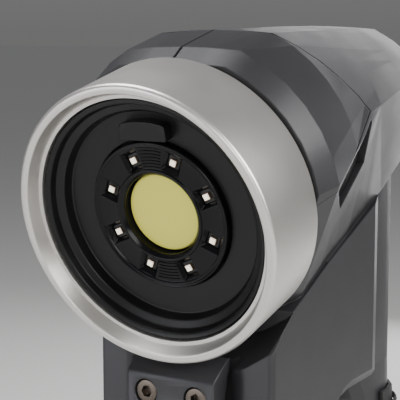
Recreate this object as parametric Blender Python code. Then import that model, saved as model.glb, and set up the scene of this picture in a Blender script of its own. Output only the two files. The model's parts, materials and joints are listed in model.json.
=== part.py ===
# Handheld laser scanner: two hooded cameras on one upright body, a closed-loop handle behind it,
# and the small pieces that make it work. Metres, +Z up, the cameras look towards -Y.
# Z = 0 is the underside of the rubber feet, X = 0 is the plane where the two body shells meet.

import math

import bmesh
import bpy
from mathutils import Matrix, Vector

# Driving dimensions
BASELINE = 0.185                 # between the centres of the two hood rims
DEPTH = 0.118                    # foremost edge of a hood rim to the flat back
TILT = math.radians(15)          # each camera leans towards the middle
WALL = 0.0024                    # shell wall
GAP = 0.0003                     # between neighbours that meet
SEAM = 0.0003                    # between the two body shells
VISOR_SEAM = 0.0006              # between the two halves of a visor
REACH = 0.5                      # how far a cutter runs past the whole scanner

# Hood ring and what sits inside it, as radii and as depths behind the rim
RING_RADIUS = 0.032
RING_LENGTH = 0.020
RING_RIM = 0.0021
RIM_ROUND = 0.0010
RING_WALL = 0.0040
HOOD_STEP_DEPTH = 0.0032         # where the bare metal ends and the black baffle starts
BAFFLE_FLOOR_DEPTH = 0.0088
BAFFLE_BACK_DEPTH = 0.0250
LED_PLATE_RADIUS = 0.0170
LED_PLATE_DEPTH = 0.0073
LED_PLATE_THICKNESS = 0.0016
LED_CIRCLE_RADIUS = 0.01315
LED_COUNT = 8
LED_POCKET = 0.0036
LED_CHIP = 0.0013
FILTER_RADIUS = 0.0090
FILTER_THICKNESS = 0.0014
LENS_LENGTH = 0.021
BOARD_THICKNESS = 0.0016
FILTER_SETBACK = 0.0026          # filter glass behind the lamp cover's face
LENS_RADIUS = 0.0078
LENS_FLANGE = 0.0030
SENSOR_RADIUS = 0.0200
TAB_WIDTH = 0.0116
TAB_HEIGHT = 0.0050

# Camera heads, measured from the centre of their rim
COLLAR_STAND = 0.0030            # how far the head stands proud of the ring
CHAMFER = 0.0022
CHAMFER_LENGTH = 0.0055
RIDGE_DEPTH = 0.0405
HEAD_RISE = 0.0110               # top of the head above the rim's edge
FLAT_HALF = 0.0146
CROWN = 0.0008                   # rise of the top between its two edges, over the visor
REAR_CROWN = 0.0004
REAR_ROUND = 0.0082              # how far the top falls at the flat back
REAR_BELLY = 0.0134              # underside of the head at the flat back
FEET_HEIGHT = 0.0020
FEET_PLACES = (0.060, 0.088)     # behind the lower rim
FOOT_HALF_WIDTH = 0.0095
FOOT_HALF_LENGTH = 0.0050
FOOT_CORNER = 0.0030
FOOT_SEAT = 0.0010
LEDGE = 0.0010                   # how far the spine's side stands out past the flank
VENT_DEPTH = 0.0018              # from the surface to the vent's insert
VENT_THICKNESS = 0.0012

# Spine and handle, as distances behind the rim centres
SPINE_FRONT = 0.0170
SPINE_BACK = 0.0520
SPINE_HALF = 0.0230
ROOT_BACK = 0.0790
HANDLE_FRONT = 0.0800
HANDLE_BACK = 0.1080
HANDLE_HALF = 0.0160
FINGER_GAP_HALF = 0.0430         # half the height of the finger gap
GRIP_LOW = -0.040                # foot of the grip pad, from mid height
GRIP_THICKNESS = 0.0013
GRIP_WRAP = 0.0150               # how far the pad comes round the handle

# Front plate
PLATE_HALF = 0.0114
PLATE_FRONT = 0.0114
PLATE_THICKNESS = 0.0050
PLATE_SLOT = 0.0015              # shadow gap on each side
WINDOW_HALF = 0.0072
WINDOW_HEIGHT = 0.060
WINDOW_THICKNESS = 0.0020
PROJECTOR_RADIUS = 0.0058

# Fasteners
SCREW_RADIUS = 0.0015
SCREW_HEAD_RADIUS = 0.00275
SCREW_HEAD = 0.0030
SCREW_PLAY = 0.0003
SCREW_SOCKET = 0.0013
SCREW_SOCKET_DEPTH = 0.0016
PLATE_SCREW_LENGTH = 0.0120
BOSS_RADIUS = 0.0036

# Controls
TRIGGER_HALF = 0.0063
TRIGGER_HEIGHT = 0.022
TRIGGER_Z = 0.010                # above mid height
TRIGGER_LIP = 0.0016             # flange beyond the blade, above and below
TRIGGER_FLANGE = 0.0020
TRIGGER_HOLLOW = 0.0016
SPRING_ROOM = 0.0065             # spring length left when the trigger is home
TRIGGER_PROUD = 0.0045
TRIGGER_TRAVEL = 0.0035
SPRING_RADIUS = 0.0032
SPRING_WIRE = 0.0005
SPRING_TURNS = 4
SWITCH_HALF = 0.0060
SWITCH_LENGTH = 0.0060
BUTTON_HALF = 0.0042
BUTTON_HEIGHT = 0.0064
BUTTON_PITCH = 0.0092
BUTTON_COUNT = 3
KEYPAD_MARGIN = 0.0022           # frame beside the buttons
LIGHT_RADIUS = 0.0013
KEYPAD_Z = 0.060
KEYPAD_BACK = 0.1093
KEYPAD_FOOT = 0.0028             # frame under the lowest button
KEYPAD_HEAD = 0.0062             # frame over the highest one, round the status light
LIGHT_DROP = 0.0034              # from the top of the frame
BUTTON_CORNER = 0.0014
BUTTON_LENGTH = 0.0052
BUTTON_PROUD = 0.0004

# Cooling fan and cable port
FAN_HALF = 0.0125
FAN_THICKNESS = 0.007
FAN_BLADES = 7
FAN_CORNER = 0.0035
FAN_HUB = 0.0048
FAN_WALL = 0.0010
FAN_CLEAR = 0.0015               # more than half a fan between it and the flat back
GUARD_RIM = 0.0015               # flat left round the fan guard
PORT_RADIUS = 0.0068
SOCKET_WALL = 0.0015
SOCKET_DEPTH = 0.0050
SOCKET_LENGTH = 0.0140
FLAP_THICKNESS = 0.0020
FLAP_MARGIN = 0.0018             # flap beyond the port hole
FLAP_KNUCKLE = 0.0011
FLAP_RISE = 0.0030               # from the flap's square part to the top of its knuckle
PIN_RADIUS = 0.0004

# Derived places
FOREMOST = (RING_RADIUS - RIM_ROUND) * math.sin(TILT)
RING_Y = -DEPTH / 2 + FOREMOST
HEAD_TOP = RING_RADIUS + HEAD_RISE
MIDDLE_Z = BASELINE / 2 + HEAD_TOP + FEET_HEIGHT
BACK = DEPTH - FOREMOST
COLLAR_RADIUS = RING_RADIUS + COLLAR_STAND
CHAMFER_START = RING_LENGTH + 2 * GAP
PLATE_TOP = BASELINE / 2 - RING_RADIUS - 0.0026
CHANNEL_FLOOR = SPINE_FRONT + 0.0040
FAN_Z = (HEAD_TOP - REAR_ROUND + REAR_BELLY) / 2   # middle of the flat back
SIDES = {"upper": 1, "lower": -1}


def material(name, colour, roughness, metallic=0.0):
    made = bpy.data.materials.new(name)
    made.use_nodes = True
    shader = made.node_tree.nodes["Principled BSDF"]
    shader.inputs["Base Color"].default_value = (*colour, 1)
    shader.inputs["Roughness"].default_value = roughness
    shader.inputs["Metallic"].default_value = metallic
    return made


def finish(name, bm):
    """An object from a bmesh, with its faces turned outwards and its round parts smooth."""
    bmesh.ops.recalc_face_normals(bm, faces=bm.faces)
    mesh = bpy.data.meshes.new(name)
    bm.to_mesh(mesh)
    bm.free()
    mesh.shade_smooth()
    mesh.set_sharp_from_angle(angle=math.radians(35))
    made = bpy.data.objects.new(name, mesh)
    bpy.context.scene.collection.objects.link(made)
    return made


def loft(name, rings):
    """A closed solid through rings of points, each ring with the same count."""
    bm = bmesh.new()
    loops = [[bm.verts.new(point) for point in ring] for ring in rings]
    count = len(rings[0])
    for lower, upper in zip(loops, loops[1:]):
        for i in range(count):
            j = (i + 1) % count
            bm.faces.new((lower[i], lower[j], upper[j], upper[i]))
    bm.faces.new(loops[0])
    bm.faces.new(list(reversed(loops[-1])))
    return finish(name, bm)


def turned(name, profile, steps=48):
    """A solid of revolution about local Y from a closed outline of (radius, along) points."""
    bm = bmesh.new()
    columns = []
    for radius, along in profile:
        if radius < 1e-7:
            columns.append([bm.verts.new((0, along, 0))] * steps)
            continue
        angles = [2 * math.pi * (i + 0.5) / steps for i in range(steps)]
        columns.append([bm.verts.new((radius * math.cos(a), along, radius * math.sin(a))) for a in angles])
    for one, two in zip(columns, columns[1:] + columns[:1]):
        for i in range(steps):
            j = (i + 1) % steps
            corners = list(dict.fromkeys((one[i], one[j], two[j], two[i])))
            if len(corners) > 2:
                bm.faces.new(corners)
    return finish(name, bm)


def rod(name, radius, start, end, steps=24):
    return turned(name, [(0, start), (radius, start), (radius, end), (0, end)], steps)


def prism(name, outline, low, high, axis="X"):
    """An outline pushed along X, Y or Z. Its points are the other two coordinates in order."""
    place = {
        "X": lambda p, w: Vector((w, p[0], p[1])),
        "Y": lambda p, w: Vector((p[0], w, p[1])),
        "Z": lambda p, w: Vector((p[0], p[1], w)),
    }[axis]
    return loft(name, [[place(p, low) for p in outline], [place(p, high) for p in outline]])


def block(name, x, y, z):
    return prism(name, [(y[0], z[0]), (y[1], z[0]), (y[1], z[1]), (y[0], z[1])], x[0], x[1])


def rounded(x, y, radii, steps=3):
    """A rounded rectangle's points. radii are those of its corners from low x, low y, anticlockwise."""
    corners = [(x[0], y[0], 1, 1), (x[1], y[0], -1, 1), (x[1], y[1], -1, -1), (x[0], y[1], 1, -1)]
    points = []
    for index, ((cx, cy, sx, sy), radius) in enumerate(zip(corners, radii)):
        for k in range(steps + 1):
            angle = math.pi + (index + k / steps) * math.pi / 2
            along = sx + math.cos(angle)
            across = sy + math.sin(angle)
            points.append((cx + radius * along, cy + radius * across))
    return points


def tidied(mesh):
    """Merges the points that a Boolean leaves within a micrometre of each other."""
    bm = bmesh.new()
    bm.from_mesh(mesh)
    bmesh.ops.remove_doubles(bm, verts=bm.verts, dist=1e-6)
    bmesh.ops.dissolve_degenerate(bm, edges=bm.edges, dist=1e-6)
    bm.to_mesh(mesh)
    bm.free()
    return mesh


def boolean(target, other, operation, keep=False, solver="EXACT"):
    """Applies a Boolean to target at once, and removes the other object unless it is kept."""
    bpy.context.view_layer.update()
    modifier = target.modifiers.new("boolean", "BOOLEAN")
    modifier.operation = operation
    modifier.solver = solver
    modifier.object = other
    graph = bpy.context.evaluated_depsgraph_get()
    mesh = bpy.data.meshes.new_from_object(target.evaluated_get(graph))
    target.modifiers.clear()
    target.data = tidied(mesh)
    if not keep:
        bpy.data.objects.remove(other)
    return target


def cut(target, *others, solver="EXACT"):
    for other in others:
        boolean(target, other, "DIFFERENCE", solver=solver)
    return target


def join(target, *others, solver="EXACT"):
    for other in others:
        boolean(target, other, "UNION", solver=solver)
    return target


def copy_of(source, name):
    made = bpy.data.objects.new(name, source.data.copy())
    made.matrix_world = source.matrix_world.copy()
    bpy.context.scene.collection.objects.link(made)
    return made


def node(made, name, look):
    """Gives a finished object its node name and its material."""
    made.name = name
    made.data.name = name
    made.data.materials.clear()
    made.data.materials.append(look)
    made.data.shade_smooth()
    made.data.set_sharp_from_angle(angle=math.radians(35))
    return made


def moved(made, location, rotation=(0, 0, 0)):
    made.location = location
    made.rotation_euler = rotation
    return made


def baked(made):
    """Moves an object's placing into its mesh, so that it can be cut in place."""
    bpy.context.view_layer.update()
    made.data.transform(made.matrix_world)
    made.matrix_world = Matrix()
    return made


def world_y(behind):
    return RING_Y + behind


def camera_frame(side):
    """The empty at the centre of a hood rim: its Y runs back along the camera's axis, its Z away
    from the middle of the scanner."""
    frame = bpy.data.objects.new(f"{side}_camera_frame", None)
    bpy.context.scene.collection.objects.link(frame)
    sign = SIDES[side]
    frame.location = (0, RING_Y, MIDDLE_Z + sign * BASELINE / 2)
    frame.rotation_euler = (TILT, 0 if sign > 0 else math.pi, 0)
    return frame


# Camera head sections

def arc(start, end, centre_z, steps):
    """Points between start and end, on the circle about (0, centre_z)."""
    radius = math.hypot(start[0], start[1] - centre_z)
    first = math.atan2(start[0], start[1] - centre_z)
    last = math.atan2(end[0], end[1] - centre_z)
    angles = [first + (last - first) * k / steps for k in range(steps + 1)]
    return [(radius * math.sin(a), centre_z + radius * math.cos(a)) for a in angles]


def centre_on_axis(one, two):
    """Height of the circle centre on X = 0 that passes through both points."""
    return (one[0] ** 2 + one[1] ** 2 - two[0] ** 2 - two[1] ** 2) / (2 * (one[1] - two[1]))


def head_section(flat, top, waist, lip, belly, crown=CROWN):
    """A closed, convex outline: slightly crowned top, round shoulders down to the waist, a
    straight flank to the lip, and a shallow belly."""
    shoulder = arc((flat, top), waist, centre_on_axis((flat, top), waist), 6)
    under = arc(lip, (0, belly), centre_on_axis(lip, (0, belly)), 4)
    half = [(0, top + crown), (flat / 2, top + 0.75 * crown), *shoulder, *under]
    return half + [(-x, z) for x, z in reversed(half[1:-1])]


def inset(points, amount):
    """A convex outline moved inwards by the same distance everywhere."""
    area = sum(a[0] * b[1] - b[0] * a[1] for a, b in zip(points, points[1:] + points[:1]))
    turn = 1 if area > 0 else -1
    result = []
    for before, here, after in zip(points[-1:] + points[:-1], points, points[1:] + points[:1]):
        normals = []
        for a, b in ((before, here), (here, after)):
            length = math.hypot(b[0] - a[0], b[1] - a[1])
            normals.append((-turn * (b[1] - a[1]) / length, turn * (b[0] - a[0]) / length))
        (ax, az), (bx, bz) = normals
        scale = amount / (1 + ax * bx + az * bz)
        result.append((here[0] + (ax + bx) * scale, here[1] + (az + bz) * scale))
    return result


def head_stations():
    """(distance behind the rim centre, tilt, outline) of each section of a camera head."""
    r = COLLAR_RADIUS
    lip_x = SPINE_HALF - LEDGE
    lip = (lip_x, -math.sqrt((r - 0.0012) ** 2 - lip_x ** 2))
    flat_top = math.sqrt(r ** 2 - FLAT_HALF ** 2)
    full = head_section(FLAT_HALF, flat_top, (r - 0.0004, 0.0025), lip, -r)
    front = [(x * (r - CHAMFER) / r, z * (r - CHAMFER) / r) for x, z in full]
    ridge_lip = (lip_x, lip[1] + 0.0030)
    ridge = head_section(FLAT_HALF, flat_top, (r - 0.0022, 0.0055), ridge_lip, -r + 0.0030)
    stations = [
        (CHAMFER_START, TILT, front),
        (CHAMFER_START + CHAMFER_LENGTH, TILT, full),
        (RIDGE_DEPTH, TILT, ridge),
    ]
    # share of the depth, crown, how far the flat narrows and the top falls, and the places of
    # the waist, the lip and the belly
    rear_lip = REAR_BELLY + 0.0008
    shape = [
        (0.510, CROWN, 0.0010, 0.0004, (0.0046, 0.0245), (0.0, -0.0070), -0.0140),
        (0.711, REAR_CROWN, 0.0020, 0.0000, (0.0073, 0.0285), (0.0005, 0.0015), -0.0030),
        (0.857, REAR_CROWN, 0.0030, 0.0004, (0.0100, 0.0285), (0.0020, 0.0075), 0.0045),
        (0.939, REAR_CROWN, 0.0040, 0.0020, (0.0125, 0.0275), (0.0040, 0.0100), 0.0080),
        (0.983, REAR_CROWN, 0.0050, 0.0050, (0.0155, 0.0265), (0.0062, 0.0120), 0.0108),
        (1.000, REAR_CROWN, 0.0060, REAR_ROUND, (0.0185, 0.0255), (0.0086, rear_lip), REAR_BELLY),
    ]
    for share, crown, narrow, fall, (waist_in, waist_z), (lip_in, lip_z), belly in shape:
        top = HEAD_TOP - crown - fall
        waist = (r - waist_in, waist_z)
        outline = head_section(FLAT_HALF - narrow, top, waist, (lip_x - lip_in, lip_z), belly, crown)
        stations.append((share * BACK, 0, outline))
    return stations


def on_station(side, behind, tilt, points):
    """An outline's points in the world, on the plane of its station."""
    sign = SIDES[side]
    start_y = behind * math.cos(tilt)
    start_z = behind * math.sin(tilt)
    return [
        Vector((
            x,
            world_y(start_y - z * math.sin(tilt)),
            MIDDLE_Z + sign * (BASELINE / 2 + start_z + z * math.cos(tilt)),
        ))
        for x, z in points
    ]


def head(name, side, depth_in=0.0, open_front=0.0):
    """A camera head's solid, moved inwards by depth_in. open_front runs it past its front plane."""
    rings = []
    stations = head_stations()
    for index, (behind, tilt, points) in enumerate(stations):
        outline = inset(points, depth_in) if depth_in else points
        if index == 0 and open_front:
            rings.append(on_station(side, behind - open_front, tilt, outline))
        if index == len(stations) - 1:
            behind -= depth_in
        rings.append(on_station(side, behind, tilt, outline))
    return loft(name, rings)


def ring_clearance(name, side, extra=0.0):
    """The space in front of a head that its hood ring and its sight line need."""
    sign = SIDES[side]
    room = COLLAR_RADIUS + 0.0003 + extra
    profile = [
        (0, -0.010),
        (room + 0.0060, -0.010),
        (room + 0.0045, 0.0040),
        (room, CHAMFER_START - 0.0012),
        (room, CHAMFER_START - GAP + extra),
        (0, CHAMFER_START - GAP + extra),
    ]
    made = turned(name, profile, 36)
    return baked(moved(made, (0, RING_Y, MIDDLE_Z + sign * BASELINE / 2), (sign * TILT, 0, 0)))


# Spine, handle and shells

def spine_outline(depth_in=0.0):
    """Side view of the spine and its roots: (behind, above mid height) points. The top edge
    follows the lip of each head."""
    rise = 0.0060 if depth_in else 0.0
    top = [
        (SPINE_FRONT + depth_in, BASELINE / 2 - RING_RADIUS + 0.004 - 2.6 * depth_in),
        (SPINE_FRONT + 0.0085 + depth_in, BASELINE / 2 - 0.0205 - 2.6 * depth_in),
        (0.0445, BASELINE / 2 - 0.0118 + rise),
        (ROOT_BACK - depth_in, BASELINE / 2 + 0.0020 + rise),
    ]
    return top + [(y, -z) for y, z in reversed(top)]


def spine(name, depth_in=0.0):
    half = SPINE_HALF - depth_in
    outline = [(world_y(y), MIDDLE_Z + z) for y, z in spine_outline(depth_in)]
    made = prism(name, outline, -half - 0.001, half + 0.001)
    plan = rounded(
        (-half, half),
        (world_y(SPINE_FRONT + depth_in), world_y(ROOT_BACK - depth_in)),
        (0.0012, 0.0012, 0.0080 - depth_in, 0.0080 - depth_in),
    )
    core = prism(name + "_plan", plan, MIDDLE_Z - BASELINE, MIDDLE_Z + BASELINE, "Z")
    return boolean(made, core, "INTERSECT")


def finger_gap(name, extra=0.0):
    """The finger gap's cutter, which widens towards both sides to leave a rounded edge."""
    rings = []
    edge = 0.0070
    for k in range(-4, 5):
        share = abs(k) / 4
        x = SPINE_HALF * (0.55 + 0.45 * share) if k else 0.0
        grow = edge * (1 - math.sqrt(max(0.0, 1 - share ** 2))) if k else 0.0
        x = math.copysign(x + (0.001 if abs(k) == 4 else 0), k)
        grow += extra
        points = rounded(
            (world_y(SPINE_BACK) - grow, world_y(ROOT_BACK + 0.020)),
            (MIDDLE_Z - FINGER_GAP_HALF - grow, MIDDLE_Z + FINGER_GAP_HALF + grow),
            (0.012, 0.0, 0.0, 0.012),
            4,
        )
        rings.append([Vector((x, y, z)) for y, z in points])
    return loft(name, rings)


def handle_ring(height, depth_in=0.0):
    """The handle's section at a height above mid height."""
    reach = max(0.0, (abs(height) - 0.030) / 0.022)
    front = HANDLE_FRONT - 0.014 * min(1.0, reach) ** 2
    swell = 0.0008 * math.cos(min(1.0, abs(height) / 0.05) * math.pi)
    corner = 0.0108
    points = rounded(
        (-HANDLE_HALF - swell + depth_in, HANDLE_HALF + swell - depth_in),
        (world_y(front + depth_in), world_y(HANDLE_BACK - depth_in)),
        (corner - depth_in,) * 4,
        4,
    )
    return [Vector((x, y, MIDDLE_Z + height)) for x, y in points]


def handle(name, depth_in=0.0):
    end = BASELINE / 2 + 0.0150 - depth_in
    shape = [0.0, 0.020, 0.036, 0.044, 0.052, end]
    heights = [-h for h in reversed(shape[1:])] + shape
    return loft(name, [handle_ring(h, depth_in) for h in heights])


def body_solid(name):
    """The outside of the body as one solid, before it is hollowed and split."""
    made = cut(spine(name), finger_gap("gap"))
    join(made, handle("handle"))
    for side in SIDES:
        join(made, head("head", side))
    for side in SIDES:
        cut(made, ring_clearance("clear", side))
    return made


def body_hollow(name):
    """The space inside the body's walls, open at the front of each head."""
    made = cut(spine(name, WALL), finger_gap("gap", WALL))
    keep = PLATE_HALF + PLATE_SLOT + WALL
    floor = world_y(CHANNEL_FLOOR + WALL)
    cut(made, block("channel", (-keep, keep), (RING_Y - 0.01, floor), (0, 2 * MIDDLE_Z)))
    for side in SIDES:
        cut(made, ring_clearance("clear", side, WALL))
    join(made, handle("handle", WALL))
    for side in SIDES:
        join(made, head("head", side, WALL, 0.004))
    return made


def visor_region(name, side, shrink):
    """The part of a head in front of the slanted joint and above the waist crease."""
    sign = SIDES[side]
    outline = [
        (-0.030, 0.070),
        (0.0304, 0.070),
        (0.0304, HEAD_TOP - 0.0015),
        (0.0490, 0.0235),
        (0.0240, 0.0070),
        (0.0100, -0.0010),
        (-0.030, -0.0010),
    ]
    if shrink:
        outline = inset(outline, shrink)
    points = [(world_y(y), MIDDLE_Z + sign * (BASELINE / 2 + z)) for y, z in outline]
    return prism(name, points, -REACH, REACH)


def half_space(name, sign, gap):
    x = sorted((sign * gap / 2, sign * REACH))
    return block(name, x, (-REACH, REACH), (-REACH, REACH))


def half_of(whole, sign, gap=SEAM):
    space = half_space("space", sign, gap)
    return boolean(copy_of(whole, "half"), space, "INTERSECT", solver=SHELL_SOLVER)


# The exact solver leaves an open edge in the shells, or no vent insert, at some sizes
SHELL_SOLVER = "MANIFOLD"
UNDER_RIM = BASELINE / 2 - RING_RADIUS - 0.0025
CASE_SCREWS = [
    (0.0340, UNDER_RIM),
    (0.0340, -UNDER_RIM),
    (0.0680, 0.0640),
    (0.0680, -0.0640),
    (0.0940, -0.0120),
]


def boss_end(behind):
    return (HANDLE_HALF if behind > ROOT_BACK else SPINE_HALF) - 0.0008


def screw_across(name, behind, height, radius, low, high, steps=12):
    """A rod along X at a case screw's place."""
    made = rod(name, radius, low, high, steps)
    return baked(moved(made, (0, world_y(behind), MIDDLE_Z + height), (0, 0, -math.pi / 2)))


def vent_outline(side, shrink):
    """The side vent's slot, just under the waist crease, in side view."""
    sign = SIDES[side]
    crease = [(0.0270, 0.0075), (0.0480, 0.0215)]
    slope = math.atan2(crease[1][1] - crease[0][1], crease[1][0] - crease[0][0])
    along = Vector((math.cos(slope), math.sin(slope)))
    down = Vector((math.sin(slope), -math.cos(slope)))
    first = Vector(crease[0]) + along * shrink + down * shrink
    last = Vector(crease[1]) - along * shrink + down * shrink
    foot_last = last + down * (0.0112 - 2 * shrink) - along * 0.002
    foot_first = first + down * (0.0124 - 2 * shrink) + along * 0.008
    points = [first, last, foot_last, foot_first]
    return [(world_y(p[0]), MIDDLE_Z + sign * (BASELINE / 2 + p[1])) for p in points]


def make_shells(paint, vent_look):
    outside = body_solid("outside")
    inside = body_hollow("inside")
    walls = boolean(copy_of(outside, "walls"), inside, "DIFFERENCE", keep=True, solver=SHELL_SOLVER)
    visors = {}
    for side in SIDES:
        region = visor_region("region", side, GAP)
        visors[side] = boolean(copy_of(walls, "visor"), region, "INTERSECT", solver=SHELL_SOLVER)
        cut(walls, visor_region("region", side, 0.0), solver=SHELL_SOLVER)
    for behind, height in CASE_SCREWS:
        end = boss_end(behind)
        boss = screw_across("boss", behind, height, BOSS_RADIUS, -end, end)
        hole = screw_across("hole", behind, height, SCREW_RADIUS + SCREW_PLAY, -end - 0.004, 0.0100)
        head_room = screw_across(
            "head", behind, height, SCREW_HEAD_RADIUS + SCREW_PLAY, -end - 0.004, -end + 0.0040
        )
        join(walls, boss, solver=SHELL_SOLVER)
        cut(walls, hole, head_room, solver=SHELL_SOLVER)
    slot = PLATE_HALF + PLATE_SLOT
    channel_top = BASELINE / 2 - RING_RADIUS + 0.02
    channel = block(
        "channel",
        (-slot, slot),
        (RING_Y, world_y(CHANNEL_FLOOR)),
        (MIDDLE_Z - channel_top, MIDDLE_Z + channel_top),
    )
    window = block(
        "window",
        (-WINDOW_HALF - GAP, WINDOW_HALF + GAP),
        (world_y(CHANNEL_FLOOR) - 0.001, world_y(CHANNEL_FLOOR + WALL) + 0.001),
        (MIDDLE_Z - WINDOW_HEIGHT / 2, MIDDLE_Z + WINDOW_HEIGHT / 2),
    )
    cut(walls, channel, window, solver=SHELL_SOLVER)
    for x, height in plate_screw_places():
        hole = rod("hole", SCREW_RADIUS + SCREW_PLAY, 0, 0.010, 12)
        baked(moved(hole, (x, world_y(CHANNEL_FLOOR) - 0.004, MIDDLE_Z + height)))
        cut(walls, hole, solver=SHELL_SOLVER)
    cut(walls, *control_openings(), solver=SHELL_SOLVER)
    for side in SIDES:
        cut(walls, prism("vent", vent_outline(side, 0.0), -REACH, REACH), solver=SHELL_SOLVER)
    for hand, sign in (("left", -1), ("right", 1)):
        node(half_of(walls, sign), f"{hand}_shell", paint)
        for side in SIDES:
            node(half_of(visors[side], sign, VISOR_SEAM), f"{side}_visor_{hand}", paint)
    for side in SIDES:
        skin = head("skin", side, VENT_DEPTH)
        core = head("skin_in", side, VENT_DEPTH + VENT_THICKNESS, 0.004)
        boolean(skin, core, "DIFFERENCE", solver=SHELL_SOLVER)
        outline = prism("vent", vent_outline(side, GAP), -REACH, REACH)
        boolean(skin, outline, "INTERSECT", solver=SHELL_SOLVER)
        for hand, sign in (("left", -1), ("right", 1)):
            outer_half = half_space("space", sign, SPINE_HALF)
            insert = boolean(copy_of(skin, "insert"), outer_half, "INTERSECT", solver=SHELL_SOLVER)
            node(insert, f"{side}_vent_{hand}", vent_look)
        bpy.data.objects.remove(skin)
    for spare in (outside, inside, walls, *visors.values()):
        bpy.data.objects.remove(spare)


# Controls, port and fan openings

def trigger_centre():
    return MIDDLE_Z + TRIGGER_Z


def keypad_centre():
    return MIDDLE_Z + KEYPAD_Z


def keypad_span():
    return BUTTON_PITCH * BUTTON_COUNT + KEYPAD_FOOT + KEYPAD_HEAD


def fan_place():
    return MIDDLE_Z + BASELINE / 2 + FAN_Z


def port_place():
    return MIDDLE_Z - BASELINE / 2 - FAN_Z


def guard_radius():
    return (HEAD_TOP - REAR_ROUND - REAR_BELLY) / 2 - GUARD_RIM


def flap_size():
    return PORT_RADIUS + FLAP_MARGIN


def control_openings():
    """Cutters for everything that reaches through the shells' rear and handle."""
    trigger_slot = block(
        "trigger_slot",
        (-TRIGGER_HALF - GAP, TRIGGER_HALF + GAP),
        (world_y(HANDLE_FRONT - 0.004), world_y(HANDLE_FRONT + WALL) + 0.001),
        (trigger_centre() - TRIGGER_HEIGHT / 2 - GAP, trigger_centre() + TRIGGER_HEIGHT / 2 + GAP),
    )
    keypad_slot = block(
        "keypad_slot",
        (-BUTTON_HALF - KEYPAD_MARGIN - GAP, BUTTON_HALF + KEYPAD_MARGIN + GAP),
        (world_y(HANDLE_BACK - WALL) - 0.002, world_y(HANDLE_BACK) + 0.004),
        (keypad_centre() - keypad_span() / 2 - GAP, keypad_centre() + keypad_span() / 2 + GAP),
    )
    low = world_y(BACK - WALL) - 0.002
    high = world_y(BACK) + 0.002
    fan_hole = rod("fan_hole", guard_radius() + GAP, low, high, 24)
    port_hole = rod("port_hole", PORT_RADIUS + GAP, low, high, 24)
    moved(fan_hole, (0, 0, fan_place()))
    moved(port_hole, (0, 0, port_place()))
    size = flap_size()
    recess = block(
        "recess",
        (-size - GAP, size + GAP),
        (world_y(BACK - FLAP_THICKNESS) - GAP, world_y(BACK) + 0.002),
        (port_place() - size - GAP, port_place() + size + FLAP_RISE + GAP),
    )
    feet = foot_blocks("foot_seat", GAP)
    return [trigger_slot, keypad_slot, baked(fan_hole), baked(port_hole), recess, *feet]


def foot_blocks(name, extra=0.0):
    """The two rubber feet under the lower head, let into its flat."""
    blocks = []
    for index, behind in enumerate(FEET_PLACES):
        y = world_y(behind)
        half = FOOT_HALF_WIDTH + extra
        length = FOOT_HALF_LENGTH + extra
        outline = rounded((-half, half), (y - length, y + length), (FOOT_CORNER,) * 4)
        high = FEET_HEIGHT + FOOT_SEAT + extra
        low = -0.0005 if extra else 0.0
        blocks.append(prism(f"{name}_{index}", outline, low, high, "Z"))
    return blocks


# Camera pieces

def ring_profile():
    """The hood ring: a rounded rim, a short bare inner wall, a seat for the baffle."""
    rim = RING_RADIUS - RING_RIM
    round_over = [
        (RING_RADIUS, RIM_ROUND),
        (RING_RADIUS - 0.3 * RIM_ROUND, 0.3 * RIM_ROUND),
        (RING_RADIUS - RIM_ROUND, 0.0),
        (rim + 0.0005, 0.0002),
        (rim, 0.0009),
    ]
    bore = RING_RADIUS - RING_WALL
    return round_over + [
        (bore + 0.0008, HOOD_STEP_DEPTH),
        (bore, HOOD_STEP_DEPTH),
        (bore, RING_LENGTH),
        (RING_RADIUS - 0.0006, RING_LENGTH),
        (RING_RADIUS, RING_LENGTH - 0.0006),
    ]


def baffle_profile():
    """Stepped black funnel, its floor, the seat for the lamp board, and the tube behind it."""
    outer = RING_RADIUS - RING_WALL - GAP
    seat = LED_PLATE_RADIUS + GAP
    seat_depth = LED_PLATE_DEPTH + LED_PLATE_THICKNESS + BOARD_THICKNESS + 3 * GAP
    bore = FILTER_RADIUS + 0.0010
    tube = min(outer - 0.0030, COLLAR_RADIUS - 0.0105)
    return [
        (outer, HOOD_STEP_DEPTH + GAP),
        (outer - 0.0012, HOOD_STEP_DEPTH + 0.0010),
        (outer - 0.0018, 0.0058),
        (outer - 0.0034, 0.0066),
        (outer - 0.0040, BAFFLE_FLOOR_DEPTH),
        (seat, BAFFLE_FLOOR_DEPTH),
        (seat, seat_depth),
        (bore, seat_depth),
        (bore, seat_depth + 0.0040),
        (tube - 0.0020, seat_depth + 0.0040),
        (tube - 0.0020, BAFFLE_BACK_DEPTH),
        (tube, BAFFLE_BACK_DEPTH),
        (tube, RING_LENGTH - 0.0020),
        (outer, RING_LENGTH - 0.0020),
    ]


def led_places():
    step = 2 * math.pi / LED_COUNT
    return [(step * (k + 0.5)) for k in range(LED_COUNT)]


def make_led_cover():
    """Moulded plate with a tapered pocket through it for each lamp."""
    front = LED_PLATE_DEPTH
    inner = FILTER_RADIUS + GAP
    profile = [
        (LED_PLATE_RADIUS, front + 0.0004),
        (LED_PLATE_RADIUS - 0.0006, front),
        (LED_PLATE_RADIUS - 0.0010, front + 0.0005),
        (inner + 0.0012, front + 0.0005),
        (inner, front + 0.0012),
        (inner, front + LED_PLATE_THICKNESS),
        (LED_PLATE_RADIUS, front + LED_PLATE_THICKNESS),
    ]
    made = turned("led_cover", profile, 32)
    for angle in led_places():
        half = LED_POCKET / 2
        reach = (front - 0.001, front + LED_PLATE_THICKNESS + 0.001)
        pocket = block("pocket", (-half, half), reach, (-half, half))
        place = (LED_CIRCLE_RADIUS * math.cos(angle), 0, LED_CIRCLE_RADIUS * math.sin(angle))
        cut(made, baked(moved(pocket, place)))
    return made


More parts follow.
